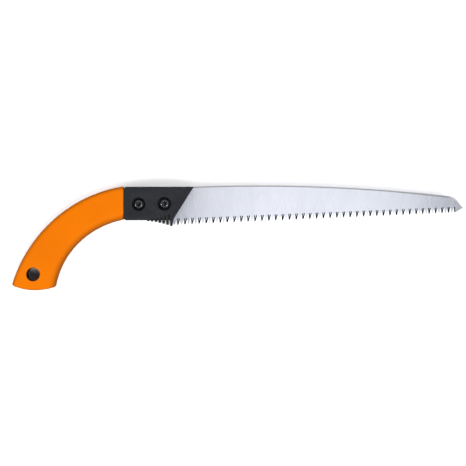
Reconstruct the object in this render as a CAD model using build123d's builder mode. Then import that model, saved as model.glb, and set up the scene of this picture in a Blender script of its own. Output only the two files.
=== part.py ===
from build123d import *
import os
from math import acos, atan, cos, degrees, hypot, sin, sqrt

# A fixed-blade pruning saw lying on its left side. Millimetres.
# +X runs along the blade to its tip, +Y towards the blade's spine, +Z through the thickness.
# The origin is under the middle of the saw's bounding box, on the surface that the saw lies on.

# ---------------------------------------------------------------- driving dimensions

# thickness stack, from the surface up
body_thickness = 22.0
blade_thickness = 1.3

# grip outline: two tangent arcs outside, two inside, and one across the butt
grip_front_x = -118.8
outer_centre = (-97.7, -85.5)
outer_radius = 140.4
outer_split_angle = 131.3
inner_centre = (-101.3, -73.2)
inner_radius = 93.7
inner_split_angle = 125.0
butt_outer = (-235.1, -49.3)
butt_low = (-210.5, -54.5)
butt_inner = (-189.7, -51.0)

# grip sections: edge roundings as (outer side, inner side, butt)
sleeve_wall = 3.0
sleeve_rounds = (5.0, 9.0, 2.0)
sleeve_front_round = 1.5
core_rounds = (2.5, 6.0, 1.0)
core_front_x = -110.0

# hanging hole through sleeve and core
hang_centre = (-212.5, -37.9)
hang_radius = 7.0
hang_rim_round = 0.8

# front block
block_rear_x = -117.3
block_top_y = 52.8
block_bottom_y = 18.1
block_front_top = (-46.4, 52.8)
block_front_foot = (-66.9, 20.0)
block_chamfer = 1.3
block_top_round = 0.8
block_bottom_round = 2.5
collar_inset = 1.0

# ribbed finger stop under the block
rib_count = 7
rib_first_x = -93.7
rib_pitch = 3.98
rib_width = 1.9
rib_root_depth = 4.0
rib_arc_radius = 89.5
rib_arc_crown = (-101.3, 17.45)
recess_depth = 2.0
recess_start_x = -92.0
recess_arc_radius = 36.8

# blade fixing: socket cap screws, flat washers and captive nuts
rear_screw_centre = (-103.3, 34.8)
front_screw_centre = (-76.7, 35.3)
screw_radius = 2.45
screw_hole_radius = 2.65
screw_length = 16.0
screw_tip_chamfer = 0.6
head_radius = 4.25
head_height = 5.0
head_chamfer = 0.4
head_sink = 0.2
socket_across = 4.0
socket_depth = 2.7
well_radius = 7.2
washer_radius = 5.0
washer_thickness = 1.0
nut_across = 8.0
nut_thickness = 4.0
nut_hole_radius = 2.5
nut_chamfer = 0.4
nut_above_tip = 0.5
nut_pocket_gap = 0.1

# blade outline
spine_radius = 1750.0
spine_crown = (22.5, 54.3)
nose_corner_x = 224.5
nose_corner_round = 12.0
nose_tip = (233.5, 31.4)
nose_tip_low = (233.5, 30.6)
nose_tip_round = 0.35
blade_heel_x = -70.0
shoulder_round = 3.0
tang_top_y = 47.5
tang_bottom_y = 23.5
tang_rear_x = -114.0
tang_corner_round = 4.0
tang_gap = 0.15
slot_front_x = -40.0
slot_top_y = 60.0
slot_bottom_y = 8.0
slot_rib_x = -69.0

# pull-cut teeth, whose pitch and height taper from heel to nose
tooth_line_start = (-56.2, 13.6)
tooth_line_slope = 0.0435
tooth_count = 83
tooth_first_x = -67.3
tooth_pitch_heel = 3.70
tooth_pitch_nose = 3.33
tooth_height_heel = 5.8
tooth_height_nose = 5.4
tooth_gullet = 0.35
tooth_lean = 0.25
tooth_tip_width = 1.4
tooth_tip_rise = 0.5

# self-tapping screws that close the two core halves on each other
core_screw_centres = [(-131.0, 35.0), (-166.0, 18.5), (-195.0, -12.0)]
core_screw_head_radius = 2.8
core_screw_head_height = 2.2
core_screw_radius = 1.45
core_screw_length = 11.0
core_screw_point = 1.2
core_screw_sink = 0.4
core_boss_radius = 4.5
core_screw_gap = 0.05

# coring of the two nylon halves between their bosses
coring_wall = 2.5
coring_front_x = -124.0
coring_rib_width = 1.8
coring_rib_count = 5
coring_rib_first = 100.0
coring_rib_range = 60.0
coring_rib_radius = 120.0
coring_rib_length = 60.0

# ---------------------------------------------------------------- worked-out heights

mid_z = body_thickness / 2
blade_low_z = mid_z - blade_thickness / 2
core_low_z = sleeve_wall
core_high_z = body_thickness - sleeve_wall
head_top_z = body_thickness - head_sink
head_seat_z = head_top_z - head_height
well_floor_z = head_seat_z - washer_thickness
screw_tip_z = head_seat_z - screw_length
nut_low_z = screw_tip_z + nut_above_tip
nut_high_z = nut_low_z + nut_thickness
core_screw_seat_z = core_low_z + core_screw_sink + core_screw_head_height
core_screw_tip_z = core_screw_seat_z + core_screw_length
nut_pocket_radius = (nut_across + nut_pocket_gap) / 2
hang_boss_radius = hang_radius + coring_wall


# ---------------------------------------------------------------- outlines


def spine_y(x):
    """Height of the blade's gently arched spine."""
    return spine_crown[1] - spine_radius + sqrt(spine_radius**2 - (x - spine_crown[0]) ** 2)


def tooth_line_y(x):
    """Height of the straight line that the tooth tips stand on."""
    return tooth_line_start[1] + tooth_line_slope * (x - tooth_line_start[0])


def tooth_tip_x(number):
    """Place of a tooth tip: the pitch shortens evenly from heel to nose."""
    taper = (tooth_pitch_nose - tooth_pitch_heel) / (2 * tooth_count)
    return tooth_first_x + number * tooth_pitch_heel + number**2 * taper


def tooth_points(number):
    """Root, blunt tip and root of one tooth, which leans back towards the handle."""
    along = atan(tooth_line_slope)
    share = number / tooth_count
    height = tooth_height_heel + share * (tooth_height_nose - tooth_height_heel)
    tip_x = tooth_tip_x(number)
    tip_y = tooth_line_y(tip_x)
    base = tooth_tip_x(number + 1) - tip_x - tooth_gullet
    corners = [
        (-tooth_lean, height),
        (0.0, 0.0),
        (tooth_tip_width, tooth_tip_rise),
        (base - tooth_lean, height),
    ]
    return [
        (
            tip_x + run * cos(along) - rise * sin(along),
            tip_y + run * sin(along) + rise * cos(along),
        )
        for run, rise in corners
    ]


def shoulder_x(y):
    """Rear edge of the blade's full width, parallel to the block's slanted front."""
    run = block_front_top[0] - block_front_foot[0]
    rise = block_front_top[1] - block_front_foot[1]
    return blade_heel_x + (y - tooth_points(0)[0][1]) * run / rise


def tang_points(gap):
    """The tang's outline from the heel round to the shoulder, grown by a gap."""
    low = tang_bottom_y - gap
    high = tang_top_y + gap
    rear = tang_rear_x - gap
    return [
        (blade_heel_x - gap, tooth_points(0)[0][1]),
        (shoulder_x(low) - gap, low),
        (rear, low),
        (rear, high),
        (shoulder_x(high) - gap, high),
    ]


def rib_tip_y(x):
    """Height of the arc that the rib tips lie on."""
    return rib_arc_crown[1] - (x - rib_arc_crown[0]) ** 2 / (2 * rib_arc_radius)


def recess_top_y(x):
    """Height that the recess above a rib gap reaches on the block's side."""
    return block_bottom_y + (x - recess_start_x) ** 2 / (2 * recess_arc_radius)


def draw_grip(front_x):
    """Draws the closed outline of the grip, cut off square at front_x."""
    outer_start = degrees(acos((front_x - outer_centre[0]) / outer_radius))
    inner_start = degrees(acos((front_x - inner_centre[0]) / inner_radius))
    outer_sweep = outer_split_angle - outer_start
    inner_sweep = inner_split_angle - inner_start
    outer = CenterArc(outer_centre, outer_radius, outer_start, outer_sweep)
    TangentArc(outer @ 1, butt_outer, tangent=outer % 1)
    ThreePointArc(butt_outer, butt_low, butt_inner)
    inner = CenterArc(inner_centre, inner_radius, inner_start, inner_sweep)
    TangentArc(inner @ 1, butt_inner, tangent=inner % 1)
    Line(outer @ 0, inner @ 0)


def rim_side(edge):
    """Names the side of the grip that a rim edge is on."""
    middle = edge @ 0.5
    if edge.geom_type != GeomType.CIRCLE:
        return "front"
    if middle.Y < butt_inner[1]:
        return "butt"
    reach = hypot(middle.X - inner_centre[0], middle.Y - inner_centre[1])
    return "outer" if reach > (outer_radius + inner_radius) / 2 else "inner"


def add_grip(inset, low_z, high_z, front_x, rounds):
    """Adds the grip's body between two heights, inset from its outline, with rounded edges."""
    outer_round, inner_round, butt_round = rounds
    with BuildSketch(Plane.XY.offset(low_z)) as plan:
        with BuildLine():
            draw_grip(front_x)
        make_face()
        if inset:
            offset(amount=-inset)
    extrude(plan.sketch, amount=high_z - low_z)
    rims = edges().group_by(Axis.Z)[0] + edges().group_by(Axis.Z)[-1]
    inner_rims = [edge for edge in rims if rim_side(edge) == "inner"]
    fillet([edge for edge in rims if rim_side(edge) == "outer"], outer_round)
    fillet(inner_rims, inner_round)
    fillet(faces().sort_by(Axis.Y)[0].edges(), butt_round)


# ---------------------------------------------------------------- core and front block


def cut_disc(centre, radius, low_z, high_z):
    """Cuts a round hole between two heights."""
    with BuildSketch(Plane.XY.offset(low_z)) as plan:
        with Locations(centre):
            Circle(radius)
    extrude(plan.sketch, amount=high_z - low_z, mode=Mode.SUBTRACT)


def add_block():
    """Adds the front block with its slanted, chamfered front edge."""
    with BuildSketch() as plan:
        with BuildLine():
            Polyline(
                (block_rear_x, block_top_y),
                block_front_top,
                block_front_foot,
                (block_front_foot[0] - block_chamfer, block_bottom_y),
                (block_rear_x, block_bottom_y),
                close=True,
            )
        make_face()
    extrude(plan.sketch, amount=body_thickness)


def block_rims():
    """The edges around the block's two side faces."""
    return edges().group_by(Axis.Z)[0] + edges().group_by(Axis.Z)[-1]


def finish_block():
    """Chamfers the slanted front of the block and rounds its long edges."""
    slant_x = (block_front_top[0] + block_front_foot[0]) / 2
    chamfer([rim for rim in block_rims() if abs((rim @ 0.5).X - slant_x) < 1], block_chamfer)
    fillet([rim for rim in block_rims() if (rim @ 0.5).Y > block_top_y - 0.1], block_top_round)
    low_rims = [rim for rim in block_rims() if (rim @ 0.5).Y < block_bottom_y + 0.1]
    fillet(low_rims, block_bottom_round)


def add_collar():
    """Adds the collar that leaves a shallow groove between the block and the sleeve."""
    middle = ((grip_front_x + block_rear_x) / 2, (block_top_y + block_bottom_y) / 2)
    height = block_top_y - block_bottom_y - 2 * collar_inset
    with BuildSketch(Plane.XY.offset(collar_inset)) as plan:
        with Locations(middle):
            Rectangle(block_rear_x - grip_front_x, height)
    extrude(plan.sketch, amount=body_thickness - 2 * collar_inset)


def add_ribs():
    """Adds the row of ribs, whose tips follow an arc and whose front one backs the blade's heel."""
    with BuildSketch() as plan:
        for number in range(rib_count):
            x = rib_first_x + number * rib_pitch
            root = block_bottom_y + rib_root_depth
            length = root - rib_tip_y(x)
            with Locations((x, root - length / 2)):
                SlotOverall(length, rib_width, rotation=90)
        with BuildLine():
            last_x = rib_first_x + (rib_count - 1) * rib_pitch
            tip = rib_tip_y(last_x) + rib_width / 2
            Polyline(
                (last_x, block_front_foot[1]),
                block_front_foot,
                (last_x + rib_width / 2, tip),
                (last_x, tip),
                close=True,
            )
        make_face()
    extrude(plan.sketch, amount=body_thickness)


def cut_rib_recesses():
    """Cuts the shallow recess that carries each rib gap up both sides of the block."""
    for number in range(rib_count - 1):
        x = rib_first_x + (number + 0.5) * rib_pitch
        width = rib_pitch - rib_width
        bottom = block_bottom_y - width
        length = recess_top_y(x) + width / 2 - bottom
        for low_z in (0, body_thickness - recess_depth):
            with BuildSketch(Plane.XY.offset(low_z)) as plan:
                with Locations((x, bottom + length / 2)):
                    SlotOverall(length, width, rotation=90)
            extrude(plan.sketch, amount=recess_depth, mode=Mode.SUBTRACT)


def cut_blade_slot():
    """Cuts the slot between the halves that holds the tang and lets the blade out."""
    with BuildSketch(Plane.XY.offset(blade_low_z)) as plan:
        with BuildLine():
            heel, *rest = tang_points(tang_gap)
            Polyline(
                (slot_rib_x, heel[1]),
                heel,
                *rest,
                (shoulder_x(slot_top_y) - tang_gap, slot_top_y),
                (slot_front_x, slot_top_y),
                (slot_front_x, slot_bottom_y),
                (slot_rib_x, slot_bottom_y),
                close=True,
            )
        make_face()
    extrude(plan.sketch, amount=blade_thickness, mode=Mode.SUBTRACT)


def cut_coring(low_z, high_z):
    """Hollows a half between its bosses and ribs."""
    with BuildSketch(Plane.XY.offset(low_z)) as plan:
        with BuildLine():
            draw_grip(coring_front_x)
        make_face()
        offset(amount=-(sleeve_wall + coring_wall))
        with Locations(*core_screw_centres):
            Circle(core_boss_radius, mode=Mode.SUBTRACT)
        with Locations(hang_centre):
            Circle(hang_boss_radius, mode=Mode.SUBTRACT)
        with Locations(inner_centre):
            with PolarLocations(
                coring_rib_radius,
                coring_rib_count,
                start_angle=coring_rib_first,
                angular_range=coring_rib_range,
            ):
                Rectangle(coring_rib_length, coring_rib_width, mode=Mode.SUBTRACT)
    extrude(plan.sketch, amount=high_z - low_z, mode=Mode.SUBTRACT)


def cut_nut_pocket(centre):
    """Cuts the hexagonal pocket that keeps a nut from turning."""
    with BuildSketch() as plan:
        with Locations(centre):
            RegularPolygon(nut_pocket_radius, 6, major_radius=False)
    extrude(plan.sketch, amount=nut_high_z, mode=Mode.SUBTRACT)


with BuildPart() as core_blank:
    add_grip(sleeve_wall, core_low_z, core_high_z, core_front_x, core_rounds)
    cut_disc(hang_centre, hang_radius, core_low_z, core_high_z)

with BuildPart() as core_body:
    add_block()
    finish_block()
    add_ribs()
    cut_rib_recesses()
    add_collar()
    add(core_blank.part)
    cut_blade_slot()
    for screw_centre in (rear_screw_centre, front_screw_centre):
        cut_disc(screw_centre, screw_hole_radius, 0, body_thickness)

# ---------------------------------------------------------------- pieces

with BuildPart() as right_core_half:
    add(core_body.part)
    split(bisect_by=Plane.XY.offset(mid_z), keep=Keep.TOP)
    for screw_centre in (rear_screw_centre, front_screw_centre):
        cut_disc(screw_centre, well_radius, well_floor_z, body_thickness)
    cut_coring(mid_z, core_high_z - coring_wall)
    for screw_centre in core_screw_centres:
        pilot_top_z = core_screw_tip_z + core_screw_sink
        cut_disc(screw_centre, core_screw_radius + core_screw_gap, mid_z, pilot_top_z)

with BuildPart() as left_core_half:
    add(core_body.part)
    split(bisect_by=Plane.XY.offset(mid_z), keep=Keep.BOTTOM)
    for screw_centre in (rear_screw_centre, front_screw_centre):
        cut_nut_pocket(screw_centre)
    cut_coring(core_low_z + coring_wall, mid_z)
    for screw_centre in core_screw_centres:
        head_hole = core_screw_head_radius + core_screw_gap
        cut_disc(screw_centre, head_hole, core_low_z, core_screw_seat_z)
        cut_disc(screw_centre, core_screw_radius + core_screw_gap, core_screw_seat_z, mid_z)

with BuildPart() as grip_sleeve:
    add_grip(0, 0, body_thickness, grip_front_x, sleeve_rounds)
    fillet(faces().sort_by(Axis.X)[-1].edges(), sleeve_front_round)
    cut_disc(hang_centre, hang_radius, 0, body_thickness)
    hang_rims = edges().filter_by(GeomType.CIRCLE).filter_by(
        lambda edge: abs(edge.radius - hang_radius) < 0.01
    )
    fillet(hang_rims, hang_rim_round)
    add(core_blank.part, mode=Mode.SUBTRACT)

with BuildPart() as saw_blade:
    with BuildSketch(Plane.XY.offset(blade_low_z)):
        with BuildLine():
            teeth = [point for number in range(tooth_count) for point in tooth_points(number)]
            nose_heel_x = tooth_tip_x(tooth_count)
            shoulder = (shoulder_x(block_top_y), spine_y(shoulder_x(block_top_y)))
            nose_corner = (nose_corner_x, spine_y(nose_corner_x))
            Polyline(*teeth, (nose_heel_x, tooth_line_y(nose_heel_x)), nose_tip_low, nose_tip)
            Line(nose_tip, nose_corner)
            ThreePointArc(nose_corner, spine_crown, shoulder)
            Polyline(shoulder, *reversed(tang_points(0)), teeth[0])
        make_face()
        fillet(vertices().sort_by_distance(nose_corner)[0], nose_corner_round)
        fillet(vertices().sort_by_distance(shoulder)[0], shoulder_round)
        fillet(vertices().sort_by_distance(nose_tip)[:2], nose_tip_round)
        fillet(vertices().sort_by(Axis.X)[:2], tang_corner_round)
        with Locations(rear_screw_centre, front_screw_centre):
            Circle(screw_hole_radius, mode=Mode.SUBTRACT)
    extrude(amount=blade_thickness)


def add_cap_screw(centre):
    """Adds a socket head cap screw standing head up on its washer."""
    with BuildSketch(Plane.XY.offset(screw_tip_z)) as plan:
        with Locations(centre):
            Circle(screw_radius)
    extrude(plan.sketch, amount=screw_length)
    chamfer(edges().sort_by(Axis.Z)[0], screw_tip_chamfer)
    with BuildSketch(Plane.XY.offset(head_seat_z)) as plan:
        with Locations(centre):
            Circle(head_radius)
    extrude(plan.sketch, amount=head_height)
    chamfer(edges().sort_by(Axis.Z)[-1], head_chamfer)
    with BuildSketch(Plane.XY.offset(head_top_z - socket_depth)) as plan:
        with Locations(centre):
            RegularPolygon(socket_across / 2, 6, major_radius=False)
    extrude(plan.sketch, amount=socket_depth, mode=Mode.SUBTRACT)


def add_washer(centre):
    """Adds the flat washer on the floor of a well."""
    with BuildSketch(Plane.XY.offset(well_floor_z)) as plan:
        with Locations(centre):
            Circle(washer_radius)
            Circle(screw_hole_radius, mode=Mode.SUBTRACT)
    extrude(plan.sketch, amount=washer_thickness)


def add_nut(centre):
    """Adds the captive hexagon nut in its pocket."""
    with BuildSketch(Plane.XY.offset(nut_low_z)) as plan:
        with Locations(centre):
            RegularPolygon(nut_across / 2, 6, major_radius=False)
            Circle(nut_hole_radius, mode=Mode.SUBTRACT)
    extrude(plan.sketch, amount=nut_thickness)
    chamfer(edges().filter_by(GeomType.CIRCLE), nut_chamfer)


with BuildPart() as front_blade_screw:
    add_cap_screw(front_screw_centre)

with BuildPart() as rear_blade_screw:
    add_cap_screw(rear_screw_centre)

with BuildPart() as front_washer:
    add_washer(front_screw_centre)

with BuildPart() as rear_washer:
    add_washer(rear_screw_centre)

with BuildPart() as front_nut:
    add_nut(front_screw_centre)

with BuildPart() as rear_nut:
    add_nut(rear_screw_centre)

with BuildPart() as core_screws:
    for screw_centre in core_screw_centres:
        with BuildSketch(Plane.XY.offset(core_low_z + core_screw_sink)):
            with Locations(screw_centre):
                Circle(core_screw_head_radius)
        extrude(amount=core_screw_head_height)
        with BuildSketch(Plane.XY.offset(core_screw_seat_z)):
            with Locations(screw_centre):
                Circle(core_screw_radius)
        extrude(amount=core_screw_length)
    tips = edges().filter_by(GeomType.CIRCLE).group_by(Axis.Z)[-1]
    chamfer(tips, core_screw_point, core_screw_point / 2)

# ---------------------------------------------------------------- files

pieces = {
    "saw_blade": saw_blade,
    "right_core_half": right_core_half,
    "left_core_half": left_core_half,
    "grip_sleeve": grip_sleeve,
    "front_blade_screw": front_blade_screw,
    "rear_blade_screw": rear_blade_screw,
    "front_washer": front_washer,
    "rear_washer": rear_washer,
    "front_nut": front_nut,
    "rear_nut": rear_nut,
    "core_screws": core_screws,
}

os.makedirs("parts", exist_ok=True)
for name, piece in pieces.items():
    piece.part.label = name
    export_step(piece.part, f"parts/{name}.step")
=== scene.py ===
from math import acos, atan, atan2, cos, hypot, pi, radians, sin, sqrt

import bmesh
import bpy
from mathutils import Matrix, Vector


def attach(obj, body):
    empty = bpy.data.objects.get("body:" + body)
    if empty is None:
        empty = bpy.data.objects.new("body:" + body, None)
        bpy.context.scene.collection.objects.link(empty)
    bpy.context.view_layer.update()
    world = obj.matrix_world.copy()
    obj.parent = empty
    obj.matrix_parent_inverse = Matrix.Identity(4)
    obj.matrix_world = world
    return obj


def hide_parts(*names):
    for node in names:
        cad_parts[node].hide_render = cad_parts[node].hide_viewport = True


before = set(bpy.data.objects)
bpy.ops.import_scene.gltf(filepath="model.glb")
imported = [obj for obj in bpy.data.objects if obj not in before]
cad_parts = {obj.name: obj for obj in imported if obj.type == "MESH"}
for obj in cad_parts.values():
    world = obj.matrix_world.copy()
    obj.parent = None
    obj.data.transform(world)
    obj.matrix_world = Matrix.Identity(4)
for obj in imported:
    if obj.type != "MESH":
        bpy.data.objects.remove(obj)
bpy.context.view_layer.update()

# The looks of a fixed-blade pruning saw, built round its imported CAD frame.
# Sizes are in millimetres, in the frame of the CAD, and go to metres when a mesh is made.

MM = 0.001

# ---------------------------------------------------------------- sizes shared with the CAD

BODY_THICKNESS = 22.0
MID_Z = BODY_THICKNESS / 2

GRIP_FRONT_X = -118.8
OUTER_CENTRE, OUTER_RADIUS, OUTER_SPLIT = (-97.7, -85.5), 140.4, radians(131.3)
INNER_CENTRE, INNER_RADIUS, INNER_SPLIT = (-101.3, -73.2), 93.7, radians(125.0)
BUTT_OUTER, BUTT_LOW, BUTT_INNER = (-235.1, -49.3), (-210.5, -54.5), (-189.7, -51.0)
SLEEVE_WALL = 3.0
OUTER_ROUND, INNER_ROUND, BUTT_ROUND, FRONT_ROUND = 5.0, 9.0, 2.0, 1.5
HANG_CENTRE, HANG_RADIUS, HANG_ROUND = (-212.5, -37.9), 7.0, 0.8

BLOCK_FRONT_TOP, BLOCK_FRONT_FOOT = (-46.4, 52.8), (-66.9, 20.0)

BLADE_THICKNESS = 1.3
SPINE_RADIUS, SPINE_CROWN = 1750.0, (22.5, 54.28)
NOSE_CORNER_X, NOSE_CORNER_ROUND = 224.5, 12.0
NOSE_TIP, NOSE_TIP_LOW = (233.5, 31.4), (233.5, 30.6)
HEEL_X, SHOULDER_ROUND = -70.0, 3.0
TANG_TOP_Y, TANG_BOTTOM_Y, TANG_REAR_X, TANG_ROUND = 47.5, 23.5, -114.0, 4.0
TOOTH_LINE_START, TOOTH_LINE_SLOPE = (-56.2, 13.6), 0.0435
TOOTH_COUNT, TOOTH_FIRST_X = 83, -67.3
PITCH_HEEL, PITCH_NOSE = 3.70, 3.33
HEIGHT_HEEL, HEIGHT_NOSE = 5.8, 5.4
GULLET, TOOTH_LEAN = 0.35, 0.25
TIP_WIDTH, TIP_RISE = 1.4, 0.5

REAR_SCREW, FRONT_SCREW = (-103.3, 34.8), (-76.7, 35.3)
SCREW_HOLE = 2.65
SCREW_RADIUS, SCREW_LENGTH, THREAD_PITCH = 2.45, 16.0, 0.8
HEAD_RADIUS, HEAD_HEIGHT, HEAD_TOP_Z = 4.25, 5.0, 21.8
HEAD_SEAT_Z = HEAD_TOP_Z - HEAD_HEIGHT
SOCKET_ACROSS, SOCKET_DEPTH = 4.0, 2.7
WASHER_RADIUS, WASHER_THICKNESS = 5.0, 1.0
NUT_ACROSS, NUT_THICKNESS, NUT_LOW_Z, NUT_HOLE = 8.0, 4.0, 1.3, 2.5

CORE_SCREWS = [(-131.0, 35.0), (-166.0, 18.5), (-195.0, -12.0)]
CORE_HEAD_LOW_Z, CORE_HEAD_HEIGHT, CORE_HEAD_RADIUS = 3.4, 2.2, 2.8
CORE_SHANK_RADIUS, CORE_SHANK_LENGTH, CORE_THREAD_PITCH = 1.45, 11.0, 1.1

# ---------------------------------------------------------------- details only the looks have

CROWN = 0.35            # the grip's faces fall this far from their middle to their sides
SEAM_WIDTH, SEAM_DEPTH = 0.7, 0.2
FACET_WIDTH, FACET_DEPTH = 1.2, 1.04   # ground facets of the teeth
FACET_RUNOUT = 1.2
TIP_FACET_HEIGHT = 1.05   # steep third facet across the tip
SPINE_TAPER = 0.11      # the blade thins towards its spine by this much on each side
SPINE_BAND = ((-60.0, 1.2), (60.0, 1.3), (150.0, 1.4), (200.0, 1.9), (240.0, 1.9))
SPINE_SLOPE, NOSE_SLOPE = 0.24, 0.36
NOSE_BAND, NOSE_LOW_BAND = 1.9, 1.0
CORE_EDGE_ROUND = 0.22
HEAD_RIM_ROUND, HEAD_CHAMFER_WIDTH, HEAD_CHAMFER_DEPTH = 0.6, 0.9, 0.44
HEAD_CHAMFER_SLOPE = radians(26.0)
KNURL_DEPTH, KNURL_COUNT, THREAD_DEPTH = 0.14, 48, 0.32

EVEN = (1.0, 1.0, 1.0)  # coordinates left unstretched
NOISE_LOW, NOISE_HIGH = 0.3, 0.7  # the range that most of a noise lies in

# brightness of the studio's sky by the height of the direction, from the horizon up
SKY_STOPS = (
    (0.0, 0.03), (0.3, 0.03), (0.42, 0.1), (0.5, 1.8), (0.62, 3.3),
    (0.75, 2.0), (0.86, 0.9), (0.92, 0.35), (0.95, 0.1), (1.0, 0.07),
)


# ---------------------------------------------------------------- material nodes


class Surface:
    """A material with a Principled shader, and the nodes that feed it."""

    def __init__(self, name):
        self.material = bpy.data.materials.new(name)
        self.material.use_nodes = True
        self.nodes, self.links = self.material.node_tree.nodes, self.material.node_tree.links
        self.shader = self.nodes["Principled BSDF"]

    def noise(self, stretch, scale, detail, roughness):
        """Fractal noise from 0 to 1 over the object's coordinates, stretched."""
        where = self.nodes.new("ShaderNodeTexCoord")
        mapping = self.nodes.new("ShaderNodeMapping")
        mapping.inputs["Scale"].default_value = stretch
        self.links.new(where.outputs["Object"], mapping.inputs["Vector"])
        node = self.nodes.new("ShaderNodeTexNoise")
        node.inputs["Scale"].default_value = scale
        node.inputs["Detail"].default_value = detail
        node.inputs["Roughness"].default_value = roughness
        self.links.new(mapping.outputs["Vector"], node.inputs["Vector"])
        return node.outputs["Fac"]

    def remap(self, value, low, high, to_low=0.0, to_high=1.0):
        """Maps low..high to to_low..to_high, clamped."""
        node = self.nodes.new("ShaderNodeMapRange")
        keys = ("From Min", "From Max", "To Min", "To Max")
        for key, number in zip(keys, (low, high, to_low, to_high)):
            node.inputs[key].default_value = number
        self.links.new(value, node.inputs["Value"])
        return node.outputs["Result"]

    def spread(self, value, to_low=0.0, to_high=1.0):
        """Stretches the middle of a noise over a range."""
        return self.remap(value, NOISE_LOW, NOISE_HIGH, to_low, to_high)

    def blend(self, share, first, second):
        """Mixes two colours, each a tuple or a socket, by a share socket."""
        node = self.nodes.new("ShaderNodeMix")
        node.data_type = "RGBA"
        self.links.new(share, node.inputs["Factor"])
        for key, colour in (("A", first), ("B", second)):
            socket = [s for s in node.inputs if s.name == key and s.type == "RGBA"][0]
            if isinstance(colour, tuple):
                socket.default_value = (*colour, 1.0)
            else:
                self.links.new(colour, socket)
        return [s for s in node.outputs if s.type == "RGBA"][0]

    def edges(self, radius, low, high):
        """From 0 on flat faces to 1 on edges, where handling wears the surface."""
        bevel = self.nodes.new("ShaderNodeBevel")
        bevel.samples = 4
        bevel.inputs["Radius"].default_value = radius
        geometry = self.nodes.new("ShaderNodeNewGeometry")
        dot = self.nodes.new("ShaderNodeVectorMath")
        dot.operation = "DOT_PRODUCT"
        self.links.new(bevel.outputs["Normal"], dot.inputs[0])
        self.links.new(geometry.outputs["True Normal"], dot.inputs[1])
        return self.remap(dot.outputs["Value"], high, low)

    def steepness(self, steep, level):
        """One on steep sides of a surface, none where it lies level; the mask of the shade painted on the
        grip.
        """
        shape = self.nodes.new("ShaderNodeNewGeometry")
        split = self.nodes.new("ShaderNodeSeparateXYZ")
        self.links.new(shape.outputs["Normal"], split.inputs["Vector"])
        size = self.nodes.new("ShaderNodeMath")
        size.operation = "ABSOLUTE"
        self.links.new(split.outputs["Z"], size.inputs[0])
        return self.remap(size.outputs["Value"], steep, level, 1.0, 0.0)

    def finish(self, colour, rough, rough_range, relief, distance, strength):
        """Feeds colour, roughness from one noise and relief from another; returns the material."""
        self.links.new(colour, self.shader.inputs["Base Color"])
        self.links.new(self.spread(rough, *rough_range), self.shader.inputs["Roughness"])
        node = self.nodes.new("ShaderNodeBump")
        node.inputs["Distance"].default_value = distance
        node.inputs["Strength"].default_value = strength
        self.links.new(relief, node.inputs["Height"])
        self.links.new(node.outputs["Normal"], self.shader.inputs["Normal"])
        return self.material


# ---------------------------------------------------------------- materials


def blade_steel():
    """Satin steel, ground across the blade, with a faint uneven sheen."""
    steel = Surface("blade_satin")
    strokes = steel.noise((1.0, 0.03, 1.0), 2600.0, 2.0, 0.5)
    bands = steel.noise((1.0, 0.12, 1.0), 90.0, 2.0, 0.5)
    cloud = steel.noise((0.35, 1.0, 1.0), 26.0, 3.0, 0.55)
    tint = steel.blend(steel.spread(bands), (0.72, 0.755, 0.86), (0.76, 0.79, 0.89))
    colour = steel.blend(steel.spread(cloud), (0.70, 0.74, 0.85), tint)
    steel.shader.inputs["Metallic"].default_value = 1.0
    return steel.finish(colour, strokes, (0.26, 0.34), strokes, 0.000004, 0.15)


def facet_steel():
    """Impulse-hardened tooth facets with fine grinding marks, coloured dark as painted shade for the dim
    surroundings they reflect.
    """
    steel = Surface("ground_facet")
    marks = steel.noise((0.2, 1.0, 1.0), 5200.0, 2.0, 0.6)
    # painted shade: the dark facet colour stands in for the dim light the tilted facets reflect
    colour = steel.blend(steel.spread(marks), (0.09, 0.095, 0.105), (0.13, 0.135, 0.15))
    steel.shader.inputs["Metallic"].default_value = 1.0
    return steel.finish(colour, marks, (0.05, 0.09), marks, 0.00001, 0.3)


def bevel_steel():
    """Duller ground steel of the spine and nose bevels, coloured dark as painted shade along the bevels.
    """
    steel = Surface("ground_bevel")
    marks = steel.noise((1.0, 0.1, 1.0), 3000.0, 2.0, 0.6)
    # painted shade: the bevel colour is darker than bare steel, standing in for the grey line of shade
    # along the spine and nose
    colour = steel.blend(steel.spread(marks), (0.25, 0.255, 0.27), (0.31, 0.315, 0.33))
    steel.shader.inputs["Metallic"].default_value = 1.0
    return steel.finish(colour, marks, (0.28, 0.36), marks, 0.00002, 0.3)


def orange_rubber():
    """Soft-touch orange elastomer with fine grain, painted shade on its steep sides and slightly rubbed
    edges.
    """
    rubber = Surface("orange_soft_touch")
    cloud = rubber.noise(EVEN, 22.0, 3.0, 0.5)
    grain = rubber.noise(EVEN, 2600.0, 2.0, 0.6)
    body = rubber.blend(rubber.spread(cloud), (0.455, 0.1, 0.0), (0.485, 0.109, 0.0))
    # painted shade: the grip's steep sides are coloured dark orange in place of the shade that falls on
    # them
    painted_flank_shade = rubber.blend(rubber.steepness(0.4, 0.97), body, (0.20, 0.052, 0.0))
    colour = rubber.blend(rubber.edges(0.0006, 0.93, 0.995), painted_flank_shade, (0.52, 0.125, 0.001))
    rubber.shader.inputs["Specular IOR Level"].default_value = 0.03
    return rubber.finish(colour, grain, (0.52, 0.68), grain, 0.00006, 0.35)


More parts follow.
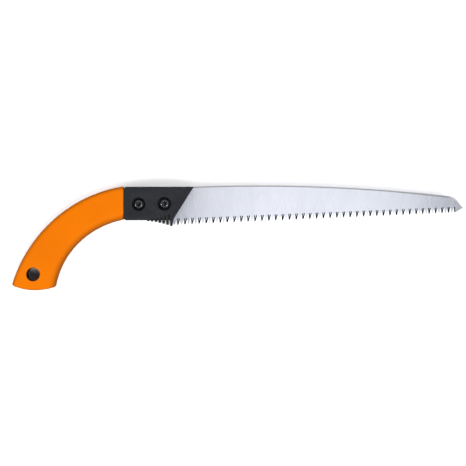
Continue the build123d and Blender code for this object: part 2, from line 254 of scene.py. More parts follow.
def black_nylon():
    """Fine matte moulded nylon, with glass-fibre flecks and edges polished by handling."""
    nylon = Surface("black_moulded_nylon")
    grain = nylon.noise(EVEN, 1500.0, 3.0, 0.65)
    cloud = nylon.noise(EVEN, 60.0, 3.0, 0.5)
    fleck = nylon.noise((1.0, 0.25, 1.0), 1900.0, 1.0, 0.5)
    body = nylon.blend(nylon.spread(cloud), (0.0058, 0.0068, 0.0092), (0.0085, 0.0095, 0.012))
    flecked = nylon.blend(nylon.remap(fleck, 0.66, 0.74), body, (0.02, 0.021, 0.023))
    colour = nylon.blend(nylon.edges(0.0005, 0.9, 0.995), flecked, (0.012, 0.013, 0.015))
    nylon.shader.inputs["Specular IOR Level"].default_value = 0.13
    return nylon.finish(colour, grain, (0.5, 0.66), grain, 0.0001, 0.4)


def black_oxide():
    """Black oxide on steel, worn to metal along the edges."""
    oxide = Surface("black_oxide_steel")
    cloud = oxide.noise(EVEN, 420.0, 3.0, 0.6)
    grain = oxide.noise(EVEN, 4200.0, 2.0, 0.5)
    body = oxide.blend(oxide.spread(cloud), (0.02, 0.021, 0.024), (0.055, 0.055, 0.06))
    colour = oxide.blend(oxide.edges(0.0003, 0.8, 0.99), body, (0.42, 0.42, 0.425))
    oxide.shader.inputs["Metallic"].default_value = 1.0
    return oxide.finish(colour, cloud, (0.14, 0.24), grain, 0.00002, 0.3)


def zinc_plate():
    """Bright zinc plate with a faint blue and yellow bloom."""
    zinc = Surface("zinc_plate")
    cloud = zinc.noise(EVEN, 300.0, 3.0, 0.55)
    grain = zinc.noise(EVEN, 3800.0, 2.0, 0.5)
    colour = zinc.blend(zinc.spread(cloud), (0.56, 0.58, 0.62), (0.66, 0.65, 0.6))
    zinc.shader.inputs["Metallic"].default_value = 1.0
    return zinc.finish(colour, cloud, (0.2, 0.34), grain, 0.00002, 0.3)


def floor_paper():
    """White paper with a barely visible tooth."""
    paper = Surface("floor_paper")
    grain = paper.noise(EVEN, 900.0, 3.0, 0.6)
    colour = paper.blend(paper.spread(grain), (0.90, 0.90, 0.905), (0.92, 0.92, 0.925))
    paper.links.new(colour, paper.shader.inputs["Base Color"])
    paper.shader.inputs["Roughness"].default_value = 0.9
    paper.shader.inputs["Specular IOR Level"].default_value = 0.1
    return paper.material


# ---------------------------------------------------------------- mesh helpers


def mesh_object(name, points, faces, smooth_angle=None):
    """A new object from points in millimetres and faces of point numbers."""
    mesh = bpy.data.meshes.new(name)
    mesh.from_pydata([(x * MM, y * MM, z * MM) for x, y, z in points], [], faces)
    mesh.validate()
    piece = bpy.data.objects.new(name, mesh)
    bpy.context.scene.collection.objects.link(piece)
    tidy_normals(mesh)
    if smooth_angle is not None:
        shade_by_angle(mesh, smooth_angle)
    return piece


def tidy_normals(mesh):
    """Turns every face outwards."""
    work = bmesh.new()
    work.from_mesh(mesh)
    bmesh.ops.recalc_face_normals(work, faces=work.faces)
    work.to_mesh(mesh)
    work.free()


def shade_by_angle(mesh, angle):
    """Smooth shading, with edges sharper than angle left crisp."""
    mesh.shade_smooth()
    mesh.set_sharp_from_angle(angle=radians(angle))


def bake_modifiers(piece):
    """Replaces a piece's mesh by what its modifiers make of it."""
    graph = bpy.context.evaluated_depsgraph_get()
    made = bpy.data.meshes.new_from_object(piece.evaluated_get(graph))
    piece.modifiers.clear()
    piece.data = made


def dress(piece, slot, body, *nodes):
    """Hangs a piece on the body it rides on and hides the CAD nodes it stands for; slot is not used."""
    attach(piece, body)
    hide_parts(*nodes)


def ring_faces(first, second, count):
    """Quads between two rings of count points that start at the given numbers."""
    return [
        (first + k, first + (k + 1) % count, second + (k + 1) % count, second + k) for k in range(count)
    ]


def stack_rings(rings, closed):
    """Points and faces of rings joined in order, ends capped or joined to each other."""
    count = len(rings[0])
    points = [point for ring in rings for point in ring]
    faces = []
    for level in range(len(rings) - 1):
        faces += ring_faces(level * count, (level + 1) * count, count)
    last = (len(rings) - 1) * count
    if closed:
        faces += ring_faces(last, 0, count)
    else:
        faces += [tuple(range(count)), tuple(range(last, last + count))]
    return points, faces


# ---------------------------------------------------------------- grip sleeve


def tangent_arc(start, direction, end):
    """The arc that leaves start in a direction and meets end: (centre, radius, from, to)."""
    across = (-direction[1], direction[0])
    chord = (end[0] - start[0], end[1] - start[1])
    reach = (chord[0] ** 2 + chord[1] ** 2) / (2 * (chord[0] * across[0] + chord[1] * across[1]))
    centre = (start[0] + across[0] * reach, start[1] + across[1] * reach)
    first = atan2(start[1] - centre[1], start[0] - centre[0])
    last = atan2(end[1] - centre[1], end[0] - centre[0])
    return centre, abs(reach), first, last


def side_curve(centre, radius, split, end):
    """One side of the grip as two tangent arcs, from the front to the butt."""
    start = acos((GRIP_FRONT_X - centre[0]) / radius)
    turn = (centre[0] + radius * cos(split), centre[1] + radius * sin(split))
    second = tangent_arc(turn, (-sin(split), cos(split)), end)
    if second[3] < second[2]:
        second = (*second[:3], second[3] + 2 * pi)
    return [(centre, radius, start, split), second]


def along_curve(arcs, share):
    """Point at a share of the length of a chain of arcs."""
    lengths = [radius * abs(last - first) for _, radius, first, last in arcs]
    left = share * sum(lengths)
    for (centre, radius, first, last), length in zip(arcs, lengths):
        if left <= length or length is lengths[-1]:
            angle = first + (last - first) * left / length
            return centre[0] + radius * cos(angle), centre[1] + radius * sin(angle)
        left -= length


def section_profile(width, inset):
    """Outline of a grip section as (across, height) pairs, shrunk by inset."""
    outer, inner = max(OUTER_ROUND - inset, 0.8), max(INNER_ROUND - inset, 0.8)
    low, near, far = inset, inset, width - inset
    groove = 0.0 if inset else SEAM_DEPTH
    corner, flat = 8, 10
    points = []
    for k in range(corner + 1):
        angle = pi + pi / 2 * k / corner
        points.append((near + outer + outer * cos(angle), low + outer + outer * sin(angle)))
    for k in range(1, flat):
        points.append((near + outer + (far - inner - near - outer) * k / flat, low))
    for k in range(corner + 1):
        angle = 1.5 * pi + pi / 2 * k / corner
        points.append((far - inner + inner * cos(angle), low + inner + inner * sin(angle)))
    for offset, depth in ((-SEAM_WIDTH / 2, 0.0), (0.0, groove), (SEAM_WIDTH / 2, 0.0)):
        points.append((far - depth, MID_Z + offset))
    rising = points[: 2 * corner + flat + 1]
    points += [(across, BODY_THICKNESS - height) for across, height in reversed(rising)]
    for offset, depth in ((SEAM_WIDTH / 2, 0.0), (0.0, groove), (-SEAM_WIDTH / 2, 0.0)):
        points.append((near + depth, MID_Z + offset))
    return points


def crowned(height, share):
    """Lowers the two faces of the grip towards its sides."""
    beyond = max(0.0, abs(height - MID_Z) - (MID_Z - SLEEVE_WALL)) / SLEEVE_WALL
    drop = CROWN * (2 * share - 1) ** 2 * beyond
    return height - drop if height > MID_Z else height + drop


def grip_ring(outer_arcs, inner_arcs, share, inset):
    """One ring of the grip: a section across it, bowed near the butt."""
    outer, inner = along_curve(outer_arcs, share), along_curve(inner_arcs, share)
    width = hypot(inner[0] - outer[0], inner[1] - outer[1])
    across = ((inner[0] - outer[0]) / width, (inner[1] - outer[1]) / width)
    behind = (across[1], -across[0])
    chord = Vector(BUTT_INNER) - Vector(BUTT_OUTER)
    butt_sag = abs(chord.cross(Vector(BUTT_LOW) - Vector(BUTT_OUTER))) / chord.length
    ease = max(0.0, (share - 0.55) / 0.45)
    sag = butt_sag * ease * ease * (3 - 2 * ease)
    ring = []
    for distance, height in section_profile(width, inset):
        part = distance / width
        push = sag * 4 * part * (1 - part)
        ring.append(
            (
                outer[0] + across[0] * distance + behind[0] * push,
                outer[1] + across[1] * distance + behind[1] * push,
                crowned(height, part),
            )
        )
    return ring


def grip_rings():
    """Rings from the bottom of the sleeve's hollow, out at the front and round to the butt."""
    outer_arcs = side_curve(OUTER_CENTRE, OUTER_RADIUS, OUTER_SPLIT, BUTT_OUTER)
    inner_arcs = side_curve(INNER_CENTRE, INNER_RADIUS, INNER_SPLIT, BUTT_INNER)
    length = sum(radius * abs(last - first) for _, radius, first, last in outer_arcs)
    deep, front, butt, steps = SLEEVE_WALL / length, FRONT_ROUND / length, BUTT_ROUND / length, 84
    rings = []
    for k in range(25):
        rings.append(grip_ring(outer_arcs, inner_arcs, (1 - 1.7 * deep) * (1 - k / 24), SLEEVE_WALL))
    for k in range(5):
        angle = pi / 2 * k / 5
        inset, share = FRONT_ROUND * (1 - sin(angle)), front * (1 - cos(angle))
        rings.append(grip_ring(outer_arcs, inner_arcs, share, inset))
    for k in range(steps + 1):
        share = front + (1 - butt - front) * k / steps
        rings.append(grip_ring(outer_arcs, inner_arcs, share, 0.0))
    for k in range(1, 7):
        angle = pi / 2 * k / 6
        inset, share = BUTT_ROUND * (1 - cos(angle)), 1 - butt * (1 - sin(angle))
        rings.append(grip_ring(outer_arcs, inner_arcs, share, inset))
    return rings


def cap_strip(first, count):
    """Quads across a ring, from its lower to its upper half, and the two ends."""
    rising = (count - 6) // 2
    faces = [
        (first + k, first + k + 1, first + 2 * rising + 1 - k, first + 2 * rising + 2 - k)
        for k in range(rising - 1)
    ]
    low_far, high_far = first + rising - 1, first + rising + 3
    faces.append((low_far, low_far + 1, low_far + 2, low_far + 3, high_far))
    tail = first + 2 * rising + 3
    faces.append((first, first + 2 * rising + 2, tail, tail + 1, tail + 2))
    return faces


def lathe_cutter(centre, profile, count):
    """A turned solid about a vertical axis, from (radius, height) pairs."""
    rings = [
        [
            (centre[0] + r * cos(2 * pi * k / count), centre[1] + r * sin(2 * pi * k / count), z)
            for k in range(count)
        ]
        for r, z in profile
    ]
    return mesh_object("cutter", *stack_rings(rings, closed=False))


def hang_hole_profile():
    """Half profile of the hanging hole, flared at both rims."""
    flare = []
    for k in range(7):
        angle = pi / 2 * k / 6
        rise = BODY_THICKNESS - HANG_ROUND * (1 - sin(angle))
        flare.append((HANG_RADIUS + HANG_ROUND * (1 - cos(angle)), rise))
    flare.append((HANG_RADIUS + HANG_ROUND, BODY_THICKNESS + 1))
    return [(r, BODY_THICKNESS - z) for r, z in reversed(flare)] + flare


def make_grip(material):
    """The orange sleeve: a crowned, hollow, curved shell with a parting line and a hanging hole."""
    rings = grip_rings()
    count = len(rings[0])
    points = [point for ring in rings for point in ring]
    faces = []
    for level in range(len(rings) - 1):
        faces += ring_faces(level * count, (level + 1) * count, count)
    faces += cap_strip(0, count) + cap_strip((len(rings) - 1) * count, count)
    grip = mesh_object("grip_sleeve_skin", points, faces)
    cutter = lathe_cutter(HANG_CENTRE, hang_hole_profile(), 72)
    cut = grip.modifiers.new("hang_hole", "BOOLEAN")
    cut.operation, cut.object, cut.solver = "DIFFERENCE", cutter, "MANIFOLD"
    bake_modifiers(grip)
    bpy.data.objects.remove(cutter)
    shade_by_angle(grip.data, 32)
    grip.data.materials.clear()
    grip.data.materials.append(material)
    dress(grip, "orange_grip", "saw", "grip_sleeve")


# ---------------------------------------------------------------- core halves


def make_core_half(name, node, material):
    """A nylon half: the CAD's shape with its moulded edges softened."""
    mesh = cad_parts[node].data.copy()
    work = bmesh.new()
    work.from_mesh(mesh)
    bmesh.ops.remove_doubles(work, verts=work.verts, dist=0.002 * MM)
    bmesh.ops.dissolve_limit(
        work, angle_limit=radians(0.5), verts=work.verts, edges=work.edges, delimit=set()
    )
    work.to_mesh(mesh)
    work.free()
    half = bpy.data.objects.new(name, mesh)
    bpy.context.scene.collection.objects.link(half)
    soft = half.modifiers.new("soft_edges", "BEVEL")
    soft.width, soft.segments, soft.limit_method = CORE_EDGE_ROUND * MM, 2, "ANGLE"
    soft.angle_limit, soft.use_clamp_overlap = radians(38), True
    bake_modifiers(half)
    shade_by_angle(half.data, 35)
    half.data.materials.clear()
    half.data.materials.append(material)
    dress(half, "black_nylon", "saw", node)


# ---------------------------------------------------------------- blade


def spine_y(x):
    """Height of the arched spine."""
    return SPINE_CROWN[1] - SPINE_RADIUS + sqrt(SPINE_RADIUS**2 - (x - SPINE_CROWN[0]) ** 2)


def tooth_line_y(x):
    """Height of the line that the tooth tips stand on."""
    return TOOTH_LINE_START[1] + TOOTH_LINE_SLOPE * (x - TOOTH_LINE_START[0])


def tooth_tip_x(number):
    """Place of a tooth tip along the tapering row."""
    taper = (PITCH_NOSE - PITCH_HEEL) / (2 * TOOTH_COUNT)
    return TOOTH_FIRST_X + number * PITCH_HEEL + number**2 * taper


class Tooth:
    """One tooth in its own leaning frame: a runs along the row, b up from the tip."""

    def __init__(self, number):
        along = atan(TOOTH_LINE_SLOPE)
        self.axes = (cos(along), sin(along))
        self.tip_x = tooth_tip_x(number)
        self.near_ground = number % 2 == 1
        self.height = HEIGHT_HEEL + number / TOOTH_COUNT * (HEIGHT_NOSE - HEIGHT_HEEL)
        self.base = tooth_tip_x(number + 1) - self.tip_x - GULLET
        self.left_slope = -TOOTH_LEAN / self.height
        self.right_slope = (self.base - TOOTH_LEAN - TIP_WIDTH) / (self.height - TIP_RISE)
        self.foot_gap = TIP_WIDTH - self.right_slope * TIP_RISE
        self.tip = self.at(0.0, 0.0)
        self.tip_right = self.at(TIP_WIDTH, TIP_RISE)
        self.left = self.at(-TOOTH_LEAN, self.height)
        self.right = self.at(self.base - TOOTH_LEAN, self.height)

    def at(self, a, b):
        """A point of the tooth's frame in the saw's plan."""
        ca, sa = self.axes
        return self.tip_x + a * ca - b * sa, tooth_line_y(self.tip_x) + a * sa + b * ca

    def inner(self, side, b):
        """Point at height b on the inside border of a facet."""
        slope = self.left_slope if side < 0 else self.right_slope
        start = 0.0 if side < 0 else self.foot_gap
        return self.at(start + slope * b - side * FACET_WIDTH * sqrt(1 + slope**2), b)

    def ridge(self, b):
        """The ridge between the two facets at height b: its place and its depth."""
        gap = self.foot_gap + (self.right_slope - self.left_slope) * b
        lean = sqrt(1 + self.left_slope**2)
        reach = gap / (lean + sqrt(1 + self.right_slope**2))
        return self.at(self.left_slope * b + reach * lean, b), FACET_DEPTH * (1 - reach / FACET_WIDTH)

    def apex(self):
        """Where the ridge reaches the blade's face."""
        spread = FACET_WIDTH * (sqrt(1 + self.left_slope**2) + sqrt(1 + self.right_slope**2))
        return self.ridge((spread - self.foot_gap) / (self.right_slope - self.left_slope))[0]


def band_width(x):
    """Width of the bevel along the spine, wider towards the nose."""
    for (x0, w0), (x1, w1) in zip(SPINE_BAND, SPINE_BAND[1:]):
        if x <= x1:
            share = min(1.0, max(0.0, (x - x0) / (x1 - x0)))
            return w0 + (w1 - w0) * share
    return SPINE_BAND[-1][1]


def face_drop(x, y):
    """How far a side face lies below full thickness: it thins evenly towards the spine."""
    return SPINE_TAPER * (y - tooth_line_y(x)) / (SPINE_CROWN[1] - tooth_line_y(SPINE_CROWN[0]))


def shoulder_x(y):
    """Rear edge of the blade's full width, parallel to the block's slanted front."""
    run = BLOCK_FRONT_TOP[0] - BLOCK_FRONT_FOOT[0]
    rise = BLOCK_FRONT_TOP[1] - BLOCK_FRONT_FOOT[1]
    return HEEL_X + (y - Tooth(0).left[1]) * run / rise


def corner_arc(before, corner, after, radius, steps):
    """Points of the rounding of a corner between two straight runs."""
    first = Vector(before) - Vector(corner)
    second = Vector(after) - Vector(corner)
    first.normalize(), second.normalize()
    half = first.angle(second) / 2
    centre = Vector(corner) + (first + second).normalized() * radius / sin(half)
    start = Vector(corner) + first * radius * cos(half) / sin(half) - centre
    end = Vector(corner) + second * radius * cos(half) / sin(half) - centre
    turn = start.angle_signed(end)
    return [
        tuple(centre + Matrix.Rotation(-turn * k / steps, 2) @ start) for k in range(steps + 1)
    ]


def nose_points():
    """The nose from its tip, up its ground edge and round the corner onto the spine."""
    centre = (SPINE_CROWN[0], SPINE_CROWN[1] - SPINE_RADIUS)
    corner = (NOSE_CORNER_X, spine_y(NOSE_CORNER_X))
    edge = Vector((corner[0] - NOSE_TIP[0], corner[1] - NOSE_TIP[1])).normalized()
    inward = Vector((-edge[1], edge[0]))
    start = Vector(NOSE_TIP) + inward * NOSE_CORNER_ROUND - Vector(centre)
    reach = start.dot(edge)
    run = -reach + sqrt(reach**2 - start.length_squared + (SPINE_RADIUS - NOSE_CORNER_ROUND) ** 2)
    middle = Vector(NOSE_TIP) + inward * NOSE_CORNER_ROUND + edge * run
    first = -inward
    last = (middle - Vector(centre)).normalized()
    turn = atan2(first[0] * last[1] - first[1] * last[0], first.dot(last))
    arc = []
    for k in range(13):
        angle = turn * k / 12
        spoke = Vector((first[0] * cos(angle) - first[1] * sin(angle),
                        first[0] * sin(angle) + first[1] * cos(angle)))
        arc.append(tuple(middle + spoke * NOSE_CORNER_ROUND))
    return arc


def inside(before, point, after, width_before, width_after):
    """The point inside a corner that keeps the given widths from its two edges."""
    first = (Vector(point) - Vector(before)).normalized()
    second = (Vector(after) - Vector(point)).normalized()
    left_first = Vector((-first[1], first[0]))
    left_second = Vector((-second[1], second[0]))
    cross = first[0] * second[1] - first[1] * second[0]
    if abs(cross) < 1e-4:
        return tuple(Vector(point) + left_first * width_before)
    gap = left_second * width_after - left_first * width_before
    along = (gap[0] * second[1] - gap[1] * second[0]) / cross
    return tuple(Vector(point) + left_first * width_before + first * along)


class BladeMesh:
    """Collects points and faces on both sides of the blade."""

    def __init__(self):
        self.numbers, self.points, self.faces, self.slots = {}, [], [], []

    def point(self, place, side, depth):
        """Number of a point on the near (+1) or far (-1) side, at a depth below the face."""
        x, y = place
        half = BLADE_THICKNESS / 2 - face_drop(x, y) - depth
        key = (round(x, 4), round(y, 4), round(MID_Z + side * half, 4))
        if key not in self.numbers:
            self.numbers[key] = len(self.points)
            self.points.append(key)
        return self.numbers[key]

    def face(self, side, places, slot=0):
        """A face from (point, depth) pairs that run anticlockwise in plan."""
        corners = [self.point(place, side, depth) for place, depth in places]
        self.faces.append(tuple(corners if side > 0 else reversed(corners)))
        self.slots.append(slot)

    def wall(self, first, second, slot=0):
        """The edge face between two outline points, each (place, near depth, far depth)."""
        a, b = first, second
        corners = [
            self.point(a[0], 1, a[1]), self.point(a[0], -1, a[2]),
            self.point(b[0], -1, b[2]), self.point(b[0], 1, b[1]),
        ]
        unique = list(dict.fromkeys(corners))
        if len(unique) > 2:
            self.faces.append(tuple(unique))
            self.slots.append(slot)


def half_circle(centre, radius, start, steps):
    """Points of half a circle, turning anticlockwise from a start angle."""
    angles = [start + pi * k / steps for k in range(steps + 1)]
    return [(centre[0] + radius * cos(angle), centre[1] + radius * sin(angle)) for angle in angles]


def build_blade(blade):
    """Fills a BladeMesh: teeth, columns up to the spine, bevels, nose and tang."""
    teeth = [Tooth(number) for number in range(TOOTH_COUNT + 1)]
    heel = (HEEL_X, teeth[0].left[1])
    nose = nose_points()
    top_y = BLOCK_FRONT_TOP[1]
    shoulder = (shoulder_x(top_y), spine_y(shoulder_x(top_y)))
    shoulder_arc = corner_arc(
        (SPINE_CROWN[0], spine_y(SPINE_CROWN[0])), shoulder, (shoulder_x(40.0), 40.0), SHOULDER_ROUND, 5
    )
    spine_start, spine_end = shoulder_arc[0][0], nose[-1][0]
    first_x, last_x = teeth[0].left[0], teeth[-1].left[0]
    spine = []
    for number in range(TOOTH_COUNT + 1):
        edge_x = teeth[number].left[0]
        x = spine_start + (spine_end - spine_start) * (edge_x - first_x) / (last_x - first_x)
        spine.append((x, spine_y(x)))
    spine[0], spine[-1] = shoulder_arc[0], nose[-1]
    lip = []
    for x, y in spine:
        down = Vector((SPINE_CROWN[0] - x, SPINE_CROWN[1] - SPINE_RADIUS - y)).normalized()
        lip.append(tuple(Vector((x, y)) + down * band_width(x)))

    tang_low = (shoulder_x(TANG_BOTTOM_Y), TANG_BOTTOM_Y)
    tang_high = (shoulder_x(TANG_TOP_Y), TANG_TOP_Y)
    hole_y = REAR_SCREW[1]
    tang_middle = (shoulder_x(hole_y), hole_y)
    rear_low = corner_arc(tang_low, (TANG_REAR_X, TANG_BOTTOM_Y), (TANG_REAR_X, hole_y), TANG_ROUND, 6)
    rear_high = corner_arc((TANG_REAR_X, hole_y), (TANG_REAR_X, TANG_TOP_Y), tang_high, TANG_ROUND, 6)

    def depth(tooth, side):
        return FACET_DEPTH if (side > 0) == tooth.near_ground else 0.0

    def spine_depth(x):
        return band_width(x) * SPINE_SLOPE

    last = teeth[-1]
    nose_lip = [
        inside(nose[k - 1], nose[k], nose[k + 1], NOSE_BAND, NOSE_BAND) for k in range(1, len(nose) - 1)
    ]
    tip_lip = inside(last.tip, NOSE_TIP_LOW, nose[0], NOSE_LOW_BAND, NOSE_BAND)
    first_lip = inside(NOSE_TIP, nose[0], nose[1], NOSE_BAND, NOSE_BAND)
    nose_depth, low_depth = NOSE_BAND * NOSE_SLOPE, NOSE_LOW_BAND * NOSE_SLOPE

    for side in (1, -1):
        for number in range(TOOTH_COUNT):
            tooth, after = teeth[number], teeth[number + 1]
            ground = depth(tooth, side) > 0
            start = teeth[number - 1].right if number else heel
            column = [(start if ground else tooth.left, 0.0)]
            if number == 0 and not ground:
                column.insert(0, (heel, 0.0))
            if ground:
                top = tooth.height + FACET_RUNOUT
                outer_left, outer_right = tooth.inner(-1, top), tooth.inner(1, top)
                column += [(outer_left, 0.0), (tooth.apex(), 0.0), (outer_right, 0.0)]
                end = after.left
                d = FACET_DEPTH
                apex, ridge = (tooth.apex(), 0.0), tooth.ridge(TIP_FACET_HEIGHT)
                tip, tip_right = (tooth.tip, d), (tooth.tip_right, d)
                blade.face(side, [(tooth.left, d), tip, ridge, apex, (outer_left, 0.0)], 1)
                blade.face(side, [tip, tip_right, ridge], 1)
                blade.face(side, [tip_right, (tooth.right, d), (outer_right, 0.0), apex, ridge], 1)
                blade.face(side, [(start, 0.0), (tooth.left, d), (outer_left, 0.0)], 1)
                blade.face(side, [(tooth.right, d), (end, 0.0), (outer_right, 0.0)], 1)
            else:
                column += [(tooth.tip, 0.0), (tooth.tip_right, 0.0)]
                end = tooth.right
            column.append((end, 0.0))
            column += [(lip[number + 1], 0.0), (lip[number], 0.0)]
            if number == 0:
                column += [(point, 0.0) for point in shoulder_arc]
                column += [(tang_high, 0.0), (tang_middle, 0.0), (tang_low, 0.0)]
            blade.face(side, column)
            strip = [(lip[number], 0.0), (lip[number + 1], 0.0)]
            strip += [(spine[number + 1], spine_depth(spine[number + 1][0]))]
            strip += [(spine[number], spine_depth(spine[number][0]) if number else 0.0)]
            blade.face(side, strip, 2)

        # the end of the row: the nose stands in for the last tooth
        ground = depth(last, side) > 0
        previous = teeth[-2].right
        facet_width, tip_d = (FACET_WIDTH, FACET_DEPTH) if ground else (0.0, low_depth)
        low_inner = inside(last.left, last.tip, NOSE_TIP_LOW, facet_width, NOSE_LOW_BAND)
        panel = [(previous if ground else last.left, 0.0)]
        if ground:
            outer_left = last.inner(-1, last.height + FACET_RUNOUT)
            facet = [(last.left, FACET_DEPTH), (last.tip, tip_d), (low_inner, 0.0), (outer_left, 0.0)]
            blade.face(side, facet, 1)
            blade.face(side, [(previous, 0.0), (last.left, FACET_DEPTH), (outer_left, 0.0)], 1)
            panel.append((outer_left, 0.0))
        else:
            blade.face(side, [(last.left, 0.0), (last.tip, tip_d), (low_inner, 0.0)], 1)
        panel += [(low_inner, 0.0), (tip_lip, 0.0), (first_lip, 0.0)]
        panel += [(point, 0.0) for point in nose_lip] + [(lip[-1], 0.0)]
        blade.face(side, panel)
        low_bevel = [(last.tip, tip_d), (NOSE_TIP_LOW, low_depth), (tip_lip, 0.0), (low_inner, 0.0)]
        blade.face(side, low_bevel, 2)
        blade.face(side, [(NOSE_TIP_LOW, low_depth), (NOSE_TIP, nose_depth), (tip_lip, 0.0)], 2)
        first_bevel = [(NOSE_TIP, nose_depth), (nose[0], nose_depth), (first_lip, 0.0), (tip_lip, 0.0)]
        blade.face(side, first_bevel, 2)
        rim = [(point, nose_depth) for point in nose[:-1]] + [(nose[-1], spine_depth(nose[-1][0]))]
        lips = [(point, 0.0) for point in [first_lip] + nose_lip + [lip[-1]]]
        for k in range(len(nose) - 1):
            blade.face(side, [rim[k], rim[k + 1], lips[k + 1], lips[k]], 2)

        # the tang, as a lower and an upper part that meet along the line through the holes
        rear_middle = (TANG_REAR_X, hole_y)
        lower = [tang_low, tang_middle]
        for centre in (FRONT_SCREW, REAR_SCREW):
            lower += reversed(half_circle(centre, SCREW_HOLE, pi, 16))
        lower += [rear_middle, *reversed(rear_low)]
        blade.face(side, [(point, 0.0) for point in lower])
        upper = [tang_middle, tang_high, *reversed(rear_high), rear_middle]
        for centre in (REAR_SCREW, FRONT_SCREW):
            upper += reversed(half_circle(centre, SCREW_HOLE, 0.0, 16))
        blade.face(side, [(point, 0.0) for point in upper])

    # edge walls, once round the outline
    outline = [(heel, 0.0, 0.0)]
    for number, tooth in enumerate(teeth[:-1]):
        near, far = depth(tooth, 1), depth(tooth, -1)
        outline += [(place, near, far) for place in (tooth.left, tooth.tip, tooth.tip_right, tooth.right)]
    near, far = depth(last, 1), depth(last, -1)
    outline.append((last.left, near, far))
    outline.append((last.tip, near if near else low_depth, far if far else low_depth))
    outline.append((NOSE_TIP_LOW, low_depth, low_depth))
    outline.append((NOSE_TIP, nose_depth, nose_depth))
    outline += [(point, nose_depth, nose_depth) for point in nose[:-1]]
    for number in range(TOOTH_COUNT, 0, -1):
        rim = spine_depth(spine[number][0])
        outline.append((spine[number], rim, rim))
    outline += [(point, 0.0, 0.0) for point in shoulder_arc]
    outline += [(tang_high, 0.0, 0.0)] + [(point, 0.0, 0.0) for point in reversed(rear_high)]
    outline.append(((TANG_REAR_X, hole_y), 0.0, 0.0))
    outline += [(point, 0.0, 0.0) for point in reversed(rear_low)] + [(tang_low, 0.0, 0.0)]
    for first, second in zip(outline, outline[1:] + outline[:1]):
        blade.wall(first, second)
    for centre in (REAR_SCREW, FRONT_SCREW):
        circle = half_circle(centre, SCREW_HOLE, 0.0, 16) + half_circle(centre, SCREW_HOLE, pi, 16)[1:]
        for first, second in zip(circle, circle[1:]):
            blade.wall((second, 0.0, 0.0), (first, 0.0, 0.0))


def make_blade(materials):
    """The taper-ground blade with its alternately ground teeth."""
    blade = BladeMesh()
    build_blade(blade)
    piece = mesh_object("blade_ground", blade.points, blade.faces)
    for material in materials:
        piece.data.materials.append(material)
    for polygon, slot in zip(piece.data.polygons, blade.slots):
        polygon.material_index = slot
    dress(piece, "blade_steel", "saw", "saw_blade")


# ---------------------------------------------------------------- fasteners


def turned(centre, count, rings, closed=False):
    """Points and faces of rings given as (radius function or number, height)."""
    loops = []
    for radius, height in rings:
        loop = []
        for k in range(count):
            angle = 2 * pi * k / count
            reach = radius(angle) if callable(radius) else radius
            loop.append((centre[0] + reach * cos(angle), centre[1] + reach * sin(angle), height))
        loops.append(loop)
    return stack_rings(loops, closed)


def hexagon(across):
    """Radius of a hexagon at an angle, by its width across flats."""
    return lambda angle: across / 2 / cos((angle + pi / 6) % (pi / 3) - pi / 6)


def knurl(radius, depth):
    """Radius of a ribbed cylinder."""
    return lambda angle: radius - depth * (0.5 - 0.5 * cos(angle * KNURL_COUNT))


def thread(radius, depth, pitch, height):
    """Radius of a helical thread at a height: crest at radius, root a depth inside it."""
    def reach(angle):
        turn = (height / pitch - angle / (2 * pi)) % 1.0
        return radius - depth * max(0.0, min(1.0, 2.6 * abs(2 * turn - 1) - 0.8))
    return reach


def threaded_rings(radius, depth, pitch, low, high, steps_per_turn=6):
    """Rings of a thread between two heights, from high to low."""
    steps = int((high - low) / pitch * steps_per_turn)
    heights = [high - (high - low) * k / steps for k in range(steps + 1)]
    return [(thread(radius, depth, pitch, height), height) for height in heights]


def make_cap_screw(name, centre, body, node, material):
    """A socket head cap screw: knurled head, chamfered and rounded rim, socket and thread."""
    top, seat = HEAD_TOP_Z, HEAD_SEAT_Z
    tip, floor = seat - SCREW_LENGTH, top - SOCKET_DEPTH
    rim, start = HEAD_RIM_ROUND, HEAD_CHAMFER_SLOPE
    chamfer = HEAD_CHAMFER_DEPTH
    rings = [(0.4, floor - 0.35), (1.7, floor)]
    rings += [(hexagon(SOCKET_ACROSS), floor), (hexagon(SOCKET_ACROSS), top - 0.3)]
    rings += [(SOCKET_ACROSS / 2 + 0.42, top - 0.02), (SOCKET_ACROSS / 2 + 0.5, top)]
    rings.append((HEAD_RADIUS - rim * (1 - sin(start)) - HEAD_CHAMFER_WIDTH, top))
    for k in range(5):
        angle = start + (pi / 2 - start) * k / 4
        drop = chamfer + rim * (cos(start) - cos(angle))
        rings.append((HEAD_RADIUS - rim * (1 - sin(angle)), top - drop))
    ribbed = knurl(HEAD_RADIUS, KNURL_DEPTH)
    rings += [(ribbed, top - chamfer - rim - 0.1), (ribbed, seat + 0.5)]
    rings.append((HEAD_RADIUS - 0.15, seat + 0.25))
    rings += [(HEAD_RADIUS - 0.3, seat), (SCREW_RADIUS, seat), (SCREW_RADIUS, seat - 0.8)]
    rings += threaded_rings(SCREW_RADIUS, THREAD_DEPTH, THREAD_PITCH, tip + 0.6, seat - 1.0)
    rings += [(SCREW_RADIUS - 0.6, tip), (0.5, tip)]
    piece = mesh_object(name, *turned(centre, 96, rings), smooth_angle=25)
    piece.data.materials.append(material)
    dress(piece, "black_oxide_steel", body, node)


